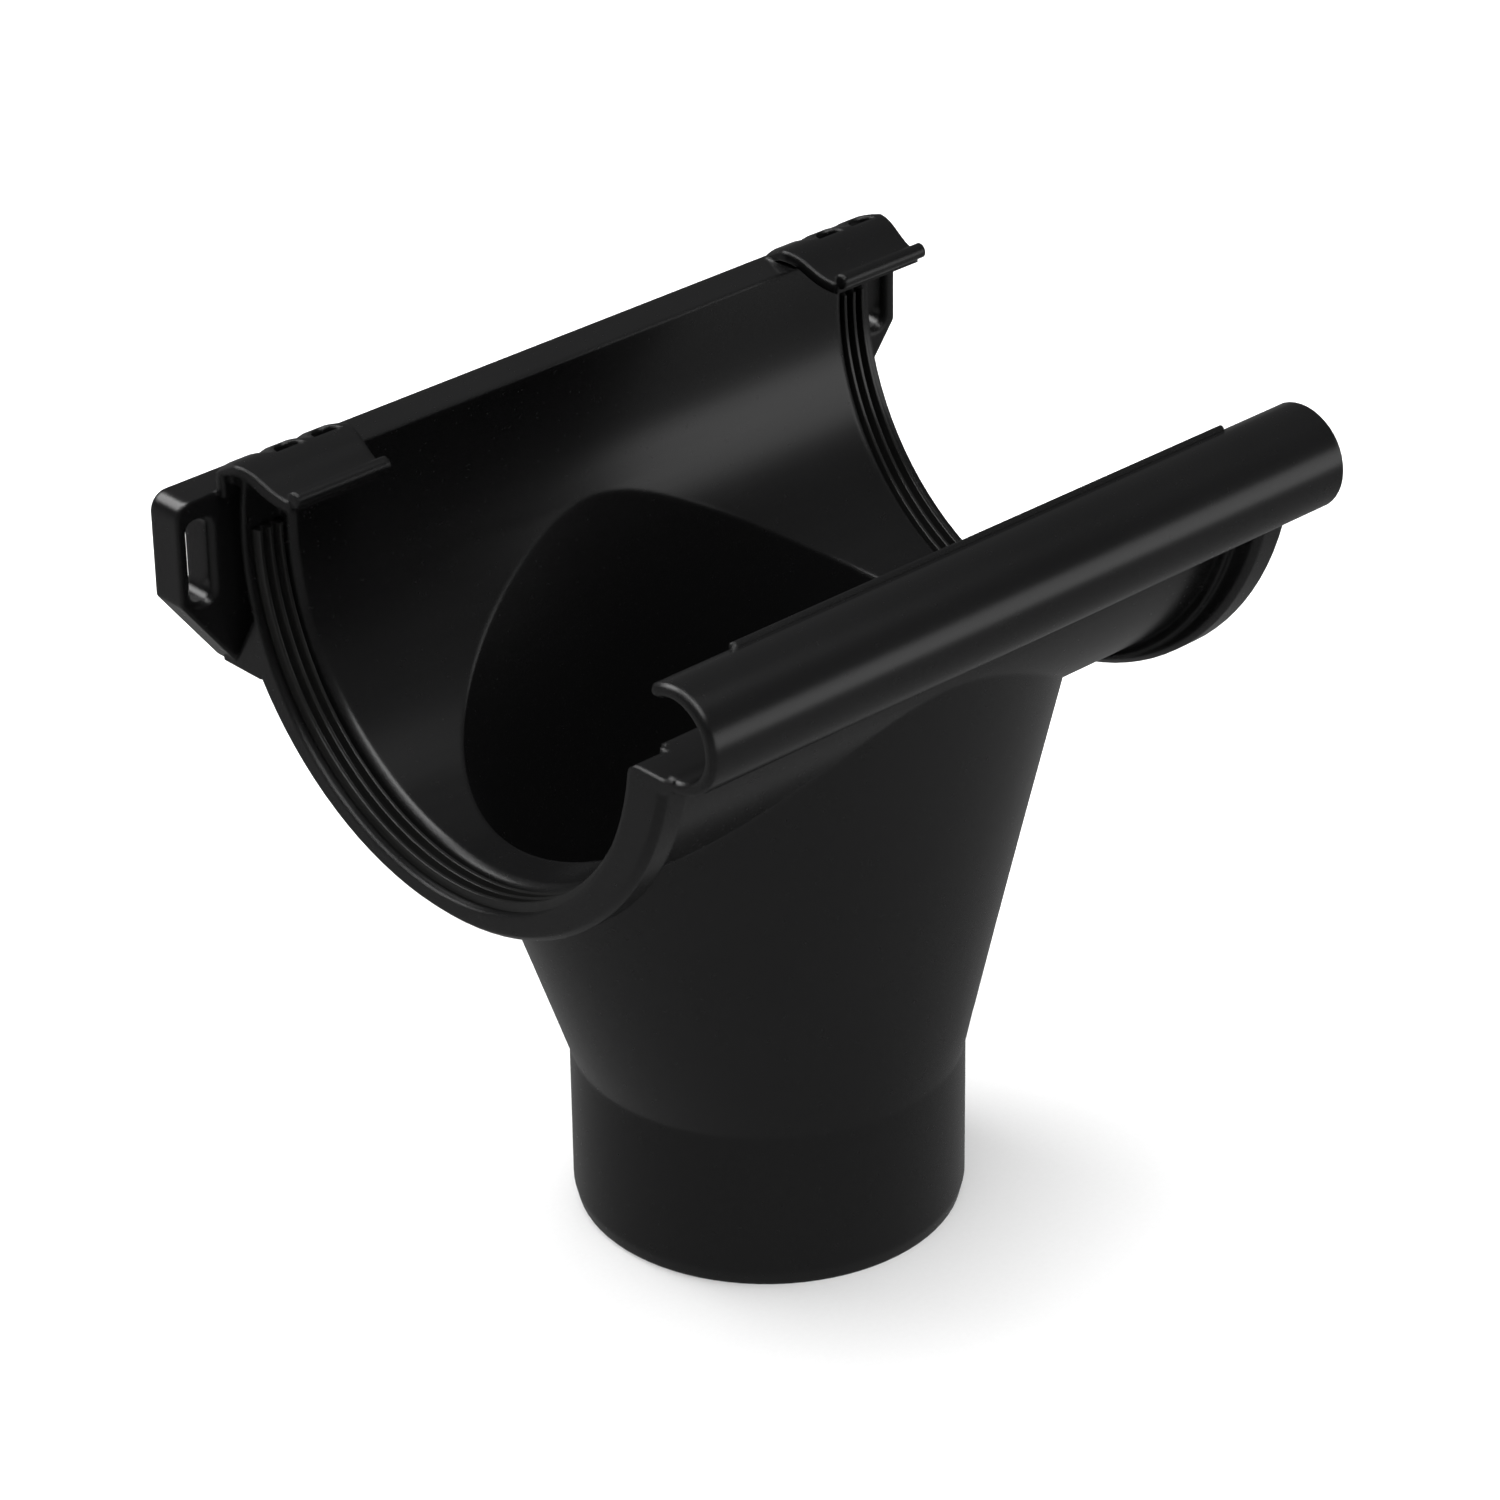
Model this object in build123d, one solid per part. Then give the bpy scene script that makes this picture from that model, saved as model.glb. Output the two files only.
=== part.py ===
from build123d import *
import os
from math import cos, radians, sin, sqrt

# Running outlet for a half-round gutter: one plastic moulding and two rubber seals.
# X runs along the gutter, -Y is the front with the roll, +Y is the back with the clips
# and the screw lugs, and +Z is up. The origin is on the spigot's axis, at its lower rim.
# All sizes are in millimetres.

# Spigot, which goes into the downpipe
spigot_radius = 41.0
spigot_height = 35.6
spigot_wall = 2.9
lead_in_height = 2.9
lead_in_depth = 0.7

# Seats for the gutters, round the gutter's axis above the spigot
seat_radius = 56.1
gutter_axis_y = 1.0
gutter_axis_rise = 123.0
gutter_step = 2.5
step_bevel = 2.0

# Trough between the collars
half_length = 83.8
trough_wall = 4.0
back_rise = 13.8
front_drop = 4.4
front_corner_radius = 2.6
back_flange_reach = 4.9
back_flange_thickness = 2.6

# Collars at the ends
collar_width = 7.8
collar_wall = 9.2
collar_shift_y = 1.1
collar_shift_z = 4.6
collar_edge_bevel = 1.2
seat_length = 9.2
ledge_width = 1.5
ledge_wall = 3.7

# Seals in their grooves
groove_width = 7.3
groove_depth = 1.6
seal_clearance = 0.3
seal_base = 1.1
rib_count = 3
rib_height = 1.9
rib_width = 1.7
rib_tip_width = 0.7
seal_back_angle = 1.5
seal_front_angle = -171.0
seal_end_clearance_angle = 0.3

# Front roll, a C-shaped bead
roll_offset = 12.0
roll_rise = 4.8
roll_radius = 11.0
roll_wall = 2.8
roll_tip_angle = 62.0
roll_root_angle = 282.0
roll_edge_bevel = 0.7
web_thickness = 3.0
tab_end_inset = 19.1
tab_height = 1.3
tab_thickness = 1.6

# Funnel from the trough down to the spigot
funnel_top_drop = 12.6
funnel_length_margin = 0.7
funnel_depth_margin = 3.5
funnel_wall = 2.9

# Clips that snap over the back rim of the gutter
clip_width = 27.8
clip_overhang = 2.2
clip_front_inset = 2.4
clip_thickness = 2.2
clip_foot_grip = 0.8
clip_shoulder_drop = 1.1
clip_shoulder_radius = 3.2
clip_shoulder_turn = 58.0
clip_crown_radius = 10.5
clip_crown_turn = 59.0
clip_slope_length = 2.6
clip_valley_radius = 13.2
bead_radius = 1.6
bead_reach = 0.8
bead_rise = 0.8
lobe_count = 3
lobe_rise = 1.1
lobe_flat_depth = 0.3
lobe_lean = 30.0
window_inset = 7.0
window_depth = 3.2
window_width = 6.2
window_shift = 0.9
windowed_lobes = (1, 2)

# Screw lugs at the back
lug_reach = 12.3
lug_overlap = 6.8
lug_depth = 8.1
lug_top_drop = 4.4
lug_corner_radius = 3.8
lug_side_height = 22.0
lug_low_corner_radius = 1.6
lug_point_reach = 1.4
lug_height = 40.0
slot_side_wall = 2.7
slot_width = 5.2
slot_top_wall = 4.8
slot_length = 17.8
slot_corner_radius = 2.3
slot_rim_bevel = 1.0

# Gusset and pocket in the collar's end face, beside the lug
gusset_low_rise = 0.6
gusset_top_rise = 2.6
gusset_reach = 4.1
gusset_inset = 2.6
pocket_skin = 1.2
pocket_depth = 6.8
pocket_drop = 15.1

# Margin for tools that cut through
past = 5.0

# Sizes that follow
gutter_axis_z = spigot_height + gutter_axis_rise
trough_inner_radius = seat_radius - gutter_step
trough_outer_radius = trough_inner_radius + trough_wall
back_top_z = gutter_axis_z + back_rise
front_top_z = gutter_axis_z - front_drop
back_flange_y = gutter_axis_y + seat_radius + back_flange_reach
collar_radius = seat_radius + collar_wall
collar_axis_y = gutter_axis_y - collar_shift_y
collar_axis_z = gutter_axis_z + collar_shift_z
collar_start_x = half_length - collar_width
seat_start_x = half_length - seat_length
ledge_radius = seat_radius + ledge_wall
ledge_start_x = collar_start_x - ledge_width
groove_radius = seat_radius + groove_depth
groove_start_x = seat_start_x
roll_axis_y = gutter_axis_y - seat_radius - roll_offset
roll_axis_z = gutter_axis_z + roll_rise
funnel_top_z = gutter_axis_z - funnel_top_drop
funnel_half_width_x = half_length - funnel_length_margin
funnel_half_width_y = trough_outer_radius - funnel_depth_margin
clip_outer_x = half_length + clip_overhang
clip_inner_x = clip_outer_x - clip_width
clip_lobe_pitch = clip_width / lobe_count
lug_front_y = back_flange_y
lug_back_y = lug_front_y + lug_depth
lug_outer_x = half_length + lug_reach
lug_inner_x = half_length - lug_overlap
lug_top_z = back_top_z - lug_top_drop
lug_side_bottom_z = lug_top_z - lug_side_height
lug_point_x = half_length - lug_point_reach
lug_point_z = lug_top_z - lug_height
slot_outer_x = lug_outer_x - slot_side_wall
slot_inner_x = slot_outer_x - slot_width
slot_top_z = lug_top_z - slot_top_wall
slot_bottom_z = slot_top_z - slot_length


def disc(radius, y, z):
    return Pos(y, z) * Circle(radius)


def block(y0, y1, z0, z1):
    return Pos((y0 + y1) / 2, (z0 + z1) / 2) * Rectangle(y1 - y0, z1 - z0)


def along(section, x0, x1):
    """A section drawn across the gutter (Y, Z), run along X."""
    return extrude(Plane.YZ.offset(x0) * section, amount=x1 - x0)


def gutter_disc(radius):
    return disc(radius, gutter_axis_y, gutter_axis_z)


def around_gutter(section, start, end):
    """A section (X, distance from the gutter's axis) turned about that axis, in degrees."""
    axis = Axis((0, gutter_axis_y, gutter_axis_z), (1, 0, 0))
    plane = Plane((0, gutter_axis_y, gutter_axis_z), x_dir=(1, 0, 0), z_dir=(0, 0, 1))
    return revolve(plane * section, axis, end - start).rotate(axis, start)


def below_rims(section):
    """The part of a section that stays below the front edge and the back edge."""
    reach = 3 * collar_radius
    front = block(-reach, gutter_axis_y, front_top_z, front_top_z + reach)
    back = block(gutter_axis_y, reach, back_top_z, back_top_z + reach)
    return section - front - back


def bore_edge_y(radius):
    """Where a bore of that radius meets the top of the front wall."""
    return gutter_axis_y - sqrt(radius**2 - front_drop**2)


def round_front(section, bore):
    """The section with its front edge rounded on the side of the bore."""
    corner = section.vertices().sort_by_distance((bore_edge_y(bore), front_top_z, 0))[0]
    return fillet(corner, front_corner_radius)


def both_ends(part):
    return Part() + [part, mirror(part, about=Plane.YZ)]


def trough():
    """Half-round channel with a flange along its back edge."""
    walls = below_rims(gutter_disc(trough_outer_radius) - gutter_disc(trough_inner_radius))
    walls = round_front(walls, trough_inner_radius)
    flange = block(gutter_axis_y, back_flange_y, back_top_z - back_flange_thickness, back_top_z)
    flange -= gutter_disc(trough_inner_radius)
    return along(walls + flange, -collar_start_x, collar_start_x)


def collar():
    """Thick end ring of the right-hand end, with soft edges."""
    ring = below_rims(disc(collar_radius, collar_axis_y, collar_axis_z) - gutter_disc(seat_radius))
    ring -= block(lug_front_y, 2 * collar_radius, lug_top_z, back_top_z + past)
    ring = along(round_front(ring, seat_radius), collar_start_x, half_length)
    rims = [
        edge
        for edge in ring.edges().filter_by(GeomType.CIRCLE)
        if abs(edge.radius - collar_radius) < seal_clearance
    ]
    return chamfer(rims, collar_edge_bevel)


def ledge():
    """Narrow step between the right-hand collar and the trough."""
    ring = below_rims(gutter_disc(ledge_radius) - gutter_disc(trough_inner_radius))
    return along(round_front(ring, trough_inner_radius), ledge_start_x, collar_start_x)


def roll():
    """C-shaped bead along the front, open towards the trough, on a web from the front wall."""
    inner = roll_radius - roll_wall
    reach = 3 * roll_radius
    tip = (reach * cos(radians(roll_tip_angle)), reach * sin(radians(roll_tip_angle)))
    root = (reach * cos(radians(roll_root_angle)), reach * sin(radians(roll_root_angle)))
    mouth = make_face(Polyline((0, 0), root, (reach, 0), tip, close=True))
    middle = (roll_radius + inner) / 2
    tip_y = middle * cos(radians(roll_tip_angle))
    tip_z = middle * sin(radians(roll_tip_angle))
    section = Circle(roll_radius) - Circle(inner) - mouth
    section += Pos(tip_y, tip_z) * Circle(roll_wall / 2)
    bead = along(Pos(roll_axis_y, roll_axis_z) * section, -half_length, half_length)
    rims = [
        edge
        for edge in bead.edges().filter_by(GeomType.CIRCLE)
        if abs(edge.radius - roll_radius) < seal_clearance
    ]
    return chamfer(rims, roll_edge_bevel)


def web():
    """Strip that carries the roll on the front wall."""
    low_z = front_top_z - web_thickness
    inner = roll_radius - roll_wall
    outline = Polyline(
        (roll_axis_y, roll_axis_z - inner),
        (roll_axis_y + front_corner_radius, front_top_z),
        (bore_edge_y(seat_radius) - front_corner_radius, front_top_z),
        (bore_edge_y(seat_radius) - front_corner_radius, low_z),
        (roll_axis_y + front_corner_radius, low_z),
        (roll_axis_y, roll_axis_z - roll_radius),
        close=True,
    )
    inner_strip = block(
        bore_edge_y(seat_radius) - front_corner_radius,
        bore_edge_y(trough_inner_radius) - front_corner_radius,
        low_z,
        front_top_z,
    )
    strip = along(make_face(outline), -half_length, half_length)
    return strip + along(inner_strip, -collar_start_x, collar_start_x)


def roll_tab():
    """Low lip that stands on the roll's tip between the collars."""
    middle = roll_radius - tab_thickness / 2
    tip_y = roll_axis_y + middle * cos(radians(roll_tip_angle))
    tip_z = roll_axis_z + middle * sin(radians(roll_tip_angle))
    lip = Pos(tip_y, tip_z + tab_height / 2) * Rectangle(tab_thickness, tab_height)
    lip += Pos(tip_y, tip_z) * Circle(tab_thickness / 2)
    lip += Pos(tip_y, tip_z + tab_height) * Circle(tab_thickness / 2)
    end_x = half_length - tab_end_inset
    return along(lip, -end_x, end_x)


def funnel(wall):
    """Oval at the trough and round at the spigot; the wall is how far it lies inside."""
    wide = funnel_half_width_x - wall
    deep = funnel_half_width_y - wall
    round_end = Plane.XY.offset(spigot_height) * Circle(spigot_radius - wall)
    oval_end = Plane.XY.offset(funnel_top_z) * Pos(0, gutter_axis_y) * Ellipse(wide, deep)
    return loft([round_end, oval_end], ruled=True)


def spigot():
    """Tube with a lead-in at its lower rim."""
    outline = Polyline(
        (0, 0),
        (spigot_radius - lead_in_depth, 0),
        (spigot_radius, lead_in_height),
        (spigot_radius, spigot_height),
        (0, spigot_height),
        close=True,
    )
    return revolve(Plane.XZ * make_face(outline), Axis.Z)


def spigot_bore():
    return Pos(0, 0, -past) * Cylinder(
        spigot_radius - spigot_wall,
        spigot_height + past,
        align=(Align.CENTER, Align.CENTER, Align.MIN),
    )


def lug():
    """Screw lug of the right-hand end: a deep plate with an upright slot."""
    outline = Polyline(
        (lug_inner_x, lug_top_z),
        (lug_outer_x, lug_top_z),
        (lug_outer_x, lug_side_bottom_z),
        (lug_point_x, lug_point_z),
        (lug_inner_x, lug_point_z),
        close=True,
    )
    plate = make_face(outline)
    plate = fillet(plate.vertices().group_by(Axis.X)[-1].sort_by(Axis.Y)[-1], lug_corner_radius)
    plate = fillet(plate.vertices().group_by(Axis.X)[-1].sort_by(Axis.Y)[0], lug_low_corner_radius)
    slot = Pos((slot_inner_x + slot_outer_x) / 2, (slot_bottom_z + slot_top_z) / 2)
    slot *= RectangleRounded(
        slot_outer_x - slot_inner_x,
        slot_top_z - slot_bottom_z,
        slot_corner_radius,
    )
    # Plane.XZ looks along -Y, so the plate grows from its back face to its front face.
    plate = extrude(Plane.XZ.offset(-lug_back_y) * (plate - slot), amount=lug_back_y - lug_front_y)
    front = plate.faces().sort_by(Axis.Y)[0]
    return chamfer(front.inner_wires()[0].edges(), slot_rim_bevel)


def lug_gusset():
    """Rib in the end face that ties the collar to the lug."""
    inside_y = gutter_axis_y + seat_radius - gusset_inset
    outline = Polyline(
        (inside_y, gutter_axis_z - pocket_drop),
        (lug_front_y, lug_point_z + gusset_top_rise),
        (lug_front_y + gusset_reach, lug_point_z + gusset_top_rise),
        (lug_front_y + gusset_reach, lug_point_z + gusset_low_rise),
        (inside_y, lug_point_z + gusset_low_rise),
        close=True,
    )
    return along(make_face(outline), lug_inner_x, half_length)


def pocket():
    """Space between the collar's thin inner skin and the lug."""
    inside_y = gutter_axis_y + seat_radius - gusset_inset
    outline = Polyline(
        (inside_y, gutter_axis_z - pocket_drop),
        (lug_front_y, lug_point_z + gusset_top_rise),
        (lug_front_y, back_top_z - back_flange_thickness),
        (gutter_axis_y, back_top_z - back_flange_thickness),
        (gutter_axis_y, gutter_axis_z),
        close=True,
    )
    section = make_face(outline) - gutter_disc(seat_radius + pocket_skin)
    return along(section, half_length - pocket_depth, half_length + past)


def strap_line(depth):
    """The clip's outline across the gutter, at a depth below its outer face, from foot to bead."""
    level_turn = 90 - clip_shoulder_turn - clip_crown_turn
    upright = Line(
        (back_flange_y - depth, lug_top_z - clip_foot_grip),
        (back_flange_y - depth, back_top_z - clip_shoulder_drop),
    )
    shoulder = JernArc(upright @ 1, upright % 1, clip_shoulder_radius - depth, clip_shoulder_turn)
    crown = JernArc(shoulder @ 1, shoulder % 1, clip_crown_radius - depth, clip_crown_turn)
    slope = PolarLine(crown @ 1, clip_slope_length, direction=crown % 1)
    valley = JernArc(slope @ 1, slope % 1, clip_valley_radius + depth, level_turn)
    return [upright, shoulder, crown, slope, valley]


def band_between(first, second):
    """The face between two lines that run the same way."""
    ends = [Line(first[0] @ 0, second[0] @ 0), Line(first[-1] @ 1, second[-1] @ 1)]
    return make_face(first + second + ends)


def clip():
    """Snap clip of the right-hand end: an arched strap with three lobes and a round bead."""
    outside = strap_line(0)
    strap = band_between(outside, strap_line(clip_thickness))
    strap = along(strap, clip_inner_x, clip_outer_x)
    # Each lobe is rounded by a barrel that leans back, with its crest just clear of the crown.
    lobe_sagitta = lobe_rise + lobe_flat_depth
    lobe_radius = clip_lobe_pitch**2 / (8 * lobe_sagitta) + lobe_sagitta / 2
    crown = outside[2].center_point
    reach = clip_crown_radius + lobe_flat_depth - lobe_radius
    lobe_y = crown.X + reach * sin(radians(lobe_lean))
    lobe_z = crown.Y + reach * cos(radians(lobe_lean))
    lobes = Part()
    for i in range(lobe_count):
        x = clip_inner_x + clip_lobe_pitch * (i + 0.5)
        lobes += Pos(x, lobe_y, lobe_z) * Rot(X=90 - lobe_lean) * Cylinder(lobe_radius, 4 * lobe_radius)
    strap &= lobes
    # In plan the strap narrows towards its bead.
    bead_y = (outside[-1] @ 1).X - bead_reach
    bead_z = (outside[-1] @ 1).Y + bead_rise
    plan = make_face(
        Polyline(
            (clip_inner_x, back_flange_y + past),
            (clip_inner_x, back_flange_y - window_inset),
            (clip_inner_x + clip_front_inset, bead_y),
            (clip_inner_x + clip_front_inset, bead_y - past),
            (clip_outer_x - clip_front_inset, bead_y - past),
            (clip_outer_x - clip_front_inset, bead_y),
            (clip_outer_x, back_flange_y - window_inset),
            (clip_outer_x, back_flange_y + past),
            close=True,
        )
    )
    strap &= extrude(plan, amount=2 * back_top_z)
    bead_length = clip_outer_x - clip_inner_x - 2 * clip_front_inset
    bead = Rot(Y=90) * Cylinder(bead_radius, bead_length)
    return strap + Pos((clip_inner_x + clip_outer_x) / 2, bead_y, bead_z) * bead


def clip_window(centre_x):
    """D-shaped window through a lobe, straight at the front."""
    front_y = back_flange_y - window_inset
    left = (centre_x - window_width / 2, front_y)
    right = (centre_x + window_width / 2, front_y)
    arc = ThreePointArc(left, (centre_x, front_y + window_depth), right)
    return Pos(0, 0, back_top_z) * extrude(make_face([arc, Line(right, left)]), amount=past)


def seat_bore():
    """Tool for the right-hand seat, with the blunted edge of the step before it."""
    outline = Polyline(
        (seat_start_x - step_bevel, 0),
        (seat_start_x - step_bevel, trough_inner_radius),
        (seat_start_x - step_bevel / 3, trough_inner_radius + step_bevel / 3),
        (seat_start_x, trough_inner_radius + step_bevel),
        (seat_start_x, seat_radius),
        (half_length + past, seat_radius),
        (half_length + past, 0),
        close=True,
    )
    return around_gutter(make_face(outline), 0, 360)


def groove():
    """Groove of the right-hand end, which holds the seal."""
    section = Pos(groove_start_x + groove_width / 2, groove_radius - (groove_depth + past) / 2)
    section *= Rectangle(groove_width, groove_depth + past)
    return around_gutter(
        section,
        seal_front_angle - seal_end_clearance_angle,
        seal_back_angle + seal_end_clearance_angle,
    )


def seal():
    """Rubber seal of the right-hand end: a thin band with three ribs, narrow at the tip."""
    outer = groove_radius - seal_clearance
    base_inner = outer - seal_base
    x0 = groove_start_x + seal_clearance
    x1 = groove_start_x + groove_width - seal_clearance
    pitch = (x1 - x0 - rib_width) / (rib_count - 1)
    section = Pos((x0 + x1) / 2, outer - seal_base / 2) * Rectangle(x1 - x0, seal_base)
    for i in range(rib_count):
        x = x0 + rib_width / 2 + pitch * i
        tip = base_inner - rib_height
        rib = Polyline(
            (x - rib_width / 2, base_inner),
            (x - rib_tip_width / 2, tip),
            (x + rib_tip_width / 2, tip),
            (x + rib_width / 2, base_inner),
            close=True,
        )
        section += make_face(rib)
    return around_gutter(section, seal_front_angle, seal_back_angle)


# The moulding: the hollow shapes first, then the ends, then what is cut out of them
body = trough() + roll() + web() + roll_tab() + funnel(0) + spigot()
body += both_ends(collar() + ledge() + lug() + lug_gusset())
body -= along(gutter_disc(trough_inner_radius), -half_length - past, half_length + past)
body -= funnel(funnel_wall)
body -= spigot_bore()
body -= both_ends(seat_bore() + groove())
body -= both_ends(pocket())
body += both_ends(clip())
for start_x in (-clip_outer_x, clip_inner_x):
    for i in windowed_lobes:
        body -= clip_window(start_x + clip_lobe_pitch * (i + 0.5) - window_shift)

right_seal = seal()
left_seal = mirror(right_seal, about=Plane.YZ)

os.makedirs("parts", exist_ok=True)
export_step(body, "parts/outlet_body.step")
export_step(left_seal, "parts/seal_left.step")
export_step(right_seal, "parts/seal_right.step")
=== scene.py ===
from math import cos, pi, radians, sin

import bpy
from mathutils import Matrix, Vector

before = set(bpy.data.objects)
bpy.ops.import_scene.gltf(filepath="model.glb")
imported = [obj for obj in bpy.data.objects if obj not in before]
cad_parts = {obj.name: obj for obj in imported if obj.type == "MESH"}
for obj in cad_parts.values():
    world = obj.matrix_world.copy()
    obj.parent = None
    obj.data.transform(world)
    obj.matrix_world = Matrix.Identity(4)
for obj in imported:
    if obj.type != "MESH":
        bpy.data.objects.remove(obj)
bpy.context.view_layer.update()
scene = bpy.context.scene
scene.view_settings.view_transform = "Standard"


# The outlet body. One injection moulding in black unplasticised PVC from a polished steel
# tool: an even satin gloss, a very fine grain, faint lines where the melt flowed along the
# gutter, and softly rounded edges.


class Wire:
    """A shader socket for use in a Python expression, or a tree's start, with no socket."""

    def __init__(self, tree, socket=None):
        self.tree = tree
        self.socket = socket

    def node(self, kind, settings=None, inputs=None):
        """Any node: its settings are set first, and then its inputs."""
        made = self.tree.nodes.new(kind)
        for key, value in (settings or {}).items():
            setattr(made, key, value)
        for key, value in (inputs or {}).items():
            if isinstance(value, Wire):
                self.tree.links.new(value.socket, made.inputs[key])
            else:
                made.inputs[key].default_value = value
        return made

    def out(self, made, key=0):
        return Wire(self.tree, made.outputs[key])

    def into(self, made, key):
        self.tree.links.new(self.socket, made.inputs[key])

    def maths(self, operation, first, second):
        settings = {"operation": operation}
        return self.out(self.node("ShaderNodeMath", settings, {0: first, 1: second}))

    def __add__(self, other):
        return self.maths("ADD", self, other)

    def __radd__(self, other):
        return self.maths("ADD", other, self)

    def __sub__(self, other):
        return self.maths("SUBTRACT", self, other)

    def __rsub__(self, other):
        return self.maths("SUBTRACT", other, self)

    def __mul__(self, other):
        return self.maths("MULTIPLY", self, other)

    def __rmul__(self, other):
        return self.maths("MULTIPLY", other, self)

    def ramp(self, low, high):
        """0 below low, 1 above high, and smooth between them."""
        made = self.node(
            "ShaderNodeMapRange",
            {"interpolation_type": "SMOOTHSTEP"},
            {"Value": self, "From Min": low, "From Max": high},
        )
        return self.out(made, "Result")

    def noise(self, scale, detail, roughness):
        made = self.node(
            "ShaderNodeTexNoise",
            inputs={"Vector": self, "Scale": scale, "Detail": detail, "Roughness": roughness},
        )
        return self.out(made, "Fac")

    def drawn_along_x(self, scale):
        """The same place with X scaled, so that a pattern on it is drawn out along X."""
        made = self.node(
            "ShaderNodeMapping",
            {"vector_type": "POINT"},
            {"Vector": self, "Scale": (scale, 1.0, 1.0)},
        )
        return self.out(made, "Vector")

    def between(self, low, high):
        """A colour between two, with this value as the mask."""
        made = self.node(
            "ShaderNodeMix",
            {"data_type": "RGBA"},
            {0: self, 6: (*low, 1.0), 7: (*high, 1.0)},
        )
        return self.out(made, 2)

    def relief(self, depth, strength, edge_radius):
        """A surface normal from this height, on edges that are rounded by the radius."""
        edges = self.node("ShaderNodeBevel", {"samples": 6}, {"Radius": edge_radius})
        made = self.node(
            "ShaderNodeBump",
            inputs={
                "Strength": strength,
                "Distance": depth,
                "Height": self,
                "Normal": self.out(edges, "Normal"),
            },
        )
        return self.out(made, "Normal")


def new_material(name, ior, specular):
    """A material, its place on the piece in metres, and its surface shader."""
    material = bpy.data.materials.new(name)
    material.use_nodes = True
    shader = material.node_tree.nodes["Principled BSDF"]
    shader.inputs["IOR"].default_value = ior
    shader.inputs["Specular IOR Level"].default_value = specular
    start = Wire(material.node_tree)
    place = start.out(start.node("ShaderNodeTexCoord"), "Object")
    return material, place, shader


def dress(node_name, material):
    """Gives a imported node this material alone."""
    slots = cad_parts[node_name].data.materials
    slots.clear()
    slots.append(material)


plastic_ior = 1.5
plastic_specular = 0.5
deep_black = (0.0022, 0.0022, 0.0023)
cloudy_black = (0.0044, 0.0044, 0.0045)
flow_stretch = 0.12
plastic_roughness = 0.2
cloud_dulling = 0.06
flow_dulling = 0.05
spot_dulling = 0.05
grain_height = 0.35
flow_height = 0.5
cloud_height = 0.15
mould_relief = 0.00006
mould_edge_radius = 0.0014

body_material, place, body_shader = new_material("black_moulding", plastic_ior, plastic_specular)
clouds = place.noise(scale=14.0, detail=4.0, roughness=0.55)
grain = place.noise(scale=2600.0, detail=2.0, roughness=0.6)
flow = place.drawn_along_x(flow_stretch).noise(scale=420.0, detail=3.0, roughness=0.55)
dull_spots = place.noise(scale=760.0, detail=2.0, roughness=0.5).ramp(low=0.66, high=0.8)
dulling = clouds * cloud_dulling + flow * flow_dulling + dull_spots * spot_dulling
height = grain * grain_height + flow * flow_height + clouds * cloud_height
clouds.between(deep_black, cloudy_black).into(body_shader, "Base Color")
(plastic_roughness + dulling).into(body_shader, "Roughness")
height.relief(mould_relief, strength=0.12, edge_radius=mould_edge_radius).into(
    body_shader, "Normal"
)
dress("outlet_body", body_material)


# The two end seals. Each is an extruded band of black rubber with three ribs, cut to length
# and pressed into the groove of its seat: slightly greyer than the body, with a cloudy bloom
# on its skin.
rubber_ior = 1.5
rubber_specular = 0.5
rubber_black = (0.005, 0.005, 0.005)
rubber_bloom = (0.011, 0.011, 0.0105)
rubber_roughness = 0.17
bloom_dulling = 0.08
rubber_relief = 0.00005
rib_edge_radius = 0.0004

seal_material, place, seal_shader = new_material("seal_rubber", rubber_ior, rubber_specular)
bloom = place.noise(scale=60.0, detail=3.0, roughness=0.6)
skin = place.noise(scale=3200.0, detail=2.0, roughness=0.6)
bloom.between(rubber_black, rubber_bloom).into(seal_shader, "Base Color")
(rubber_roughness + bloom * bloom_dulling).into(seal_shader, "Roughness")
skin.relief(rubber_relief, strength=0.25, edge_radius=rib_edge_radius).into(seal_shader, "Normal")
for seal in ("seal_left", "seal_right"):
    dress(seal, seal_material)


# The floor. A plain pale sweep of paper, on which the outlet stands on the rim of its
# spigot. It is matt, with fine fibres, and it doesn't show in the gloss of the part.
floor_size = 8.0
paper_ior = 1.45
paper_specular = 0.1
paper_roughness = 0.9
paper_grey = (0.86, 0.86, 0.86)
paper_white = (0.9, 0.9, 0.9)

bpy.ops.object.select_all(action="DESELECT")
bpy.ops.mesh.primitive_plane_add(size=floor_size, location=(0.0, 0.0, 0.0))
floor = bpy.context.object
floor.name = "floor"
floor_material, place, floor_shader = new_material("pale_paper", paper_ior, paper_specular)
fibres = place.noise(scale=900.0, detail=3.0, roughness=0.6)
fibres.between(paper_grey, paper_white).into(floor_shader, "Base Color")
floor_shader.inputs["Roughness"].default_value = paper_roughness
floor.data.materials.append(floor_material)
floor.visible_glossy = False


# The studio. A dim room behind a white sweep, with a wide soft light overhead that whitens
# the floor and stays out of the gloss, a soft box above, a low one at the right that draws
# the band along the roll, and two at the back and above that pick out rims and ribs.
sweep_brightness = 0.95
low_brightness = 0.21
brightness_drop = 0.13
overhead_spread = radians(100.0)
overhead_energy = 3.6

world = bpy.data.worlds.new("studio")
scene.world = world
world.use_nodes = True
background = world.node_tree.nodes["Background"]
background.inputs["Color"].default_value = (1.0, 1.0, 1.0, 1.0)
room = Wire(world.node_tree)
direction = room.out(room.node("ShaderNodeTexCoord"), "Generated")
upward = room.out(room.node("ShaderNodeSeparateXYZ", inputs={0: direction}), "Z")
sweep = room.out(room.node("ShaderNodeLightPath"), "Is Camera Ray")
dimness = upward.ramp(low=-0.1, high=0.15) * brightness_drop
(low_brightness - dimness + sweep * sweep_brightness).into(background, "Strength")

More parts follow.
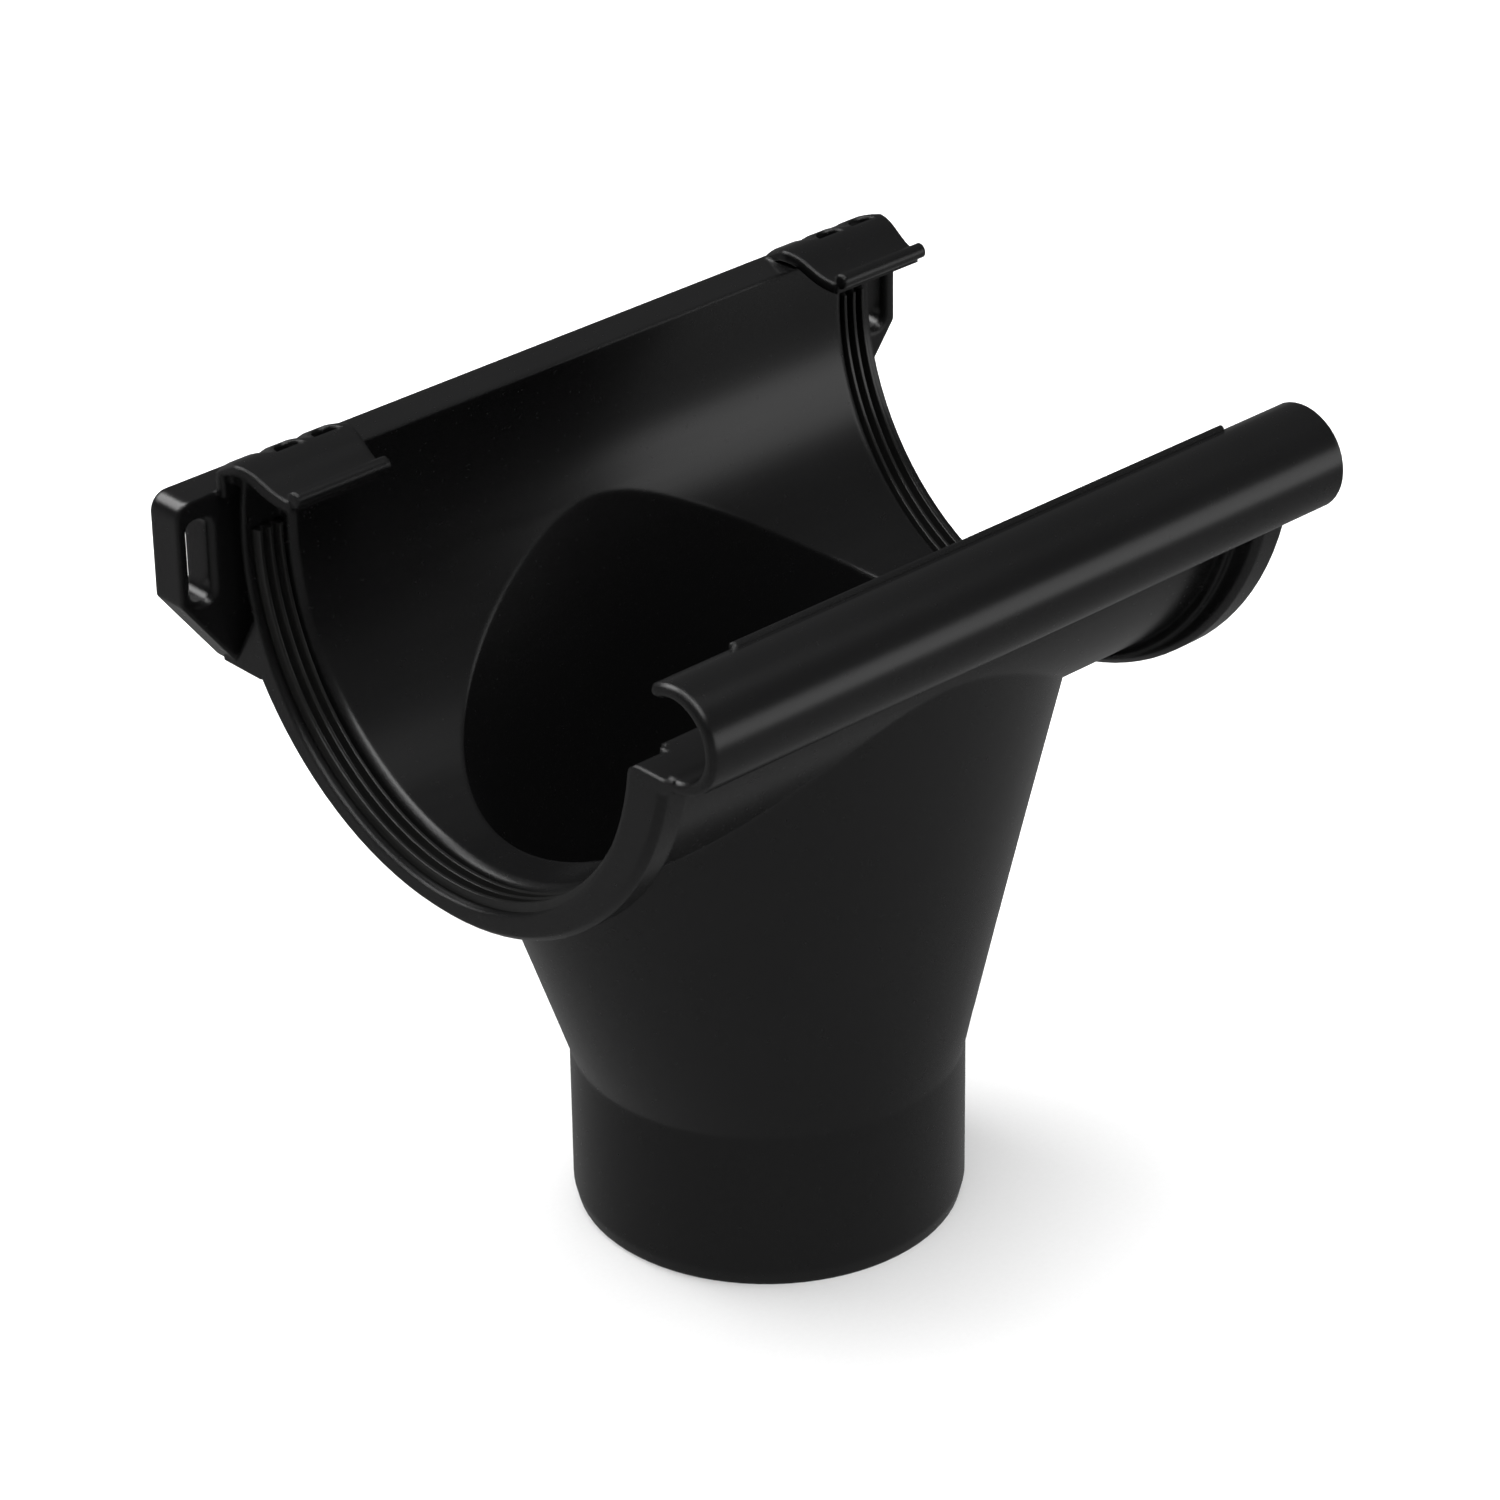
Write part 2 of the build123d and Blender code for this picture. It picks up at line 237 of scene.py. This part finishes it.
overhead = bpy.data.lights.new("overhead_light", "SUN")
overhead.angle = overhead_spread
overhead.energy = overhead_energy
overhead_light = bpy.data.objects.new("overhead_light", overhead)
scene.collection.objects.link(overhead_light)
overhead_light.visible_glossy = False


def softbox(name, centre, facing, across, width, height, radiance):
    """A rectangular area light, with its width along one direction, of a given brightness."""
    data = bpy.data.lights.new(name, "AREA")
    data.shape = "RECTANGLE"
    data.size = width
    data.size_y = height
    data.energy = radiance * pi * width * height
    light = bpy.data.objects.new(name, data)
    scene.collection.objects.link(light)
    back = -Vector(facing).normalized()
    side = (Vector(across) - back * Vector(across).dot(back)).normalized()
    turn = Matrix((side, back.cross(side), back)).transposed().to_4x4()
    light.matrix_world = Matrix.Translation(Vector(centre)) @ turn


softbox(
    "top_light",
    centre=(0.35, -0.35, 1.5),
    facing=(-0.2, 0.2, -1.0),
    across=(1.0, 0.0, 0.0),
    width=0.9,
    height=0.6,
    radiance=0.45,
)
softbox(
    "right_light",
    centre=(0.85, -0.85, 0.2),
    facing=(-0.7, 0.7, 0.0),
    across=(0.7, 0.7, 0.0),
    width=1.3,
    height=0.5,
    radiance=1.2,
)
softbox(
    "strip_light",
    centre=(-0.1, 0.0, 1.25),
    facing=(0.0, 0.0, -1.0),
    across=(1.0, 0.0, 0.0),
    width=0.4,
    height=1.8,
    radiance=7.0,
)
softbox(
    "rim_light",
    centre=(-0.36, 0.98, 1.04),
    facing=(0.25, -0.7, -0.67),
    across=(0.94, 0.34, 0.0),
    width=0.8,
    height=0.7,
    radiance=5.0,
)


# The camera. It stands at the front left and above, far away, with a long lens, and is
# turned a little about its own line of sight.
azimuth = radians(-42.34)
elevation = radians(29.18)
roll = radians(-0.81)
distance = 1.12996
aim_aside = -0.00278
aim_height = 0.1022

away = Vector((sin(azimuth) * cos(elevation), -cos(azimuth) * cos(elevation), sin(elevation)))
right = (-away).cross(Vector((0.0, 0.0, 1.0))).normalized()
above = right.cross(-away)
right, above = cos(roll) * right + sin(roll) * above, -sin(roll) * right + cos(roll) * above
target = right * aim_aside + Vector((0.0, 0.0, aim_height))
lens = bpy.data.cameras.new("camera")
lens.sensor_width = 36.0
lens.lens = 134.81
lens.clip_start = 0.01
lens.clip_end = 50.0
camera = bpy.data.objects.new("camera", lens)
scene.collection.objects.link(camera)
turn = Matrix((right, above, away)).transposed().to_4x4()
camera.matrix_world = Matrix.Translation(target + away * distance) @ turn
scene.camera = camera
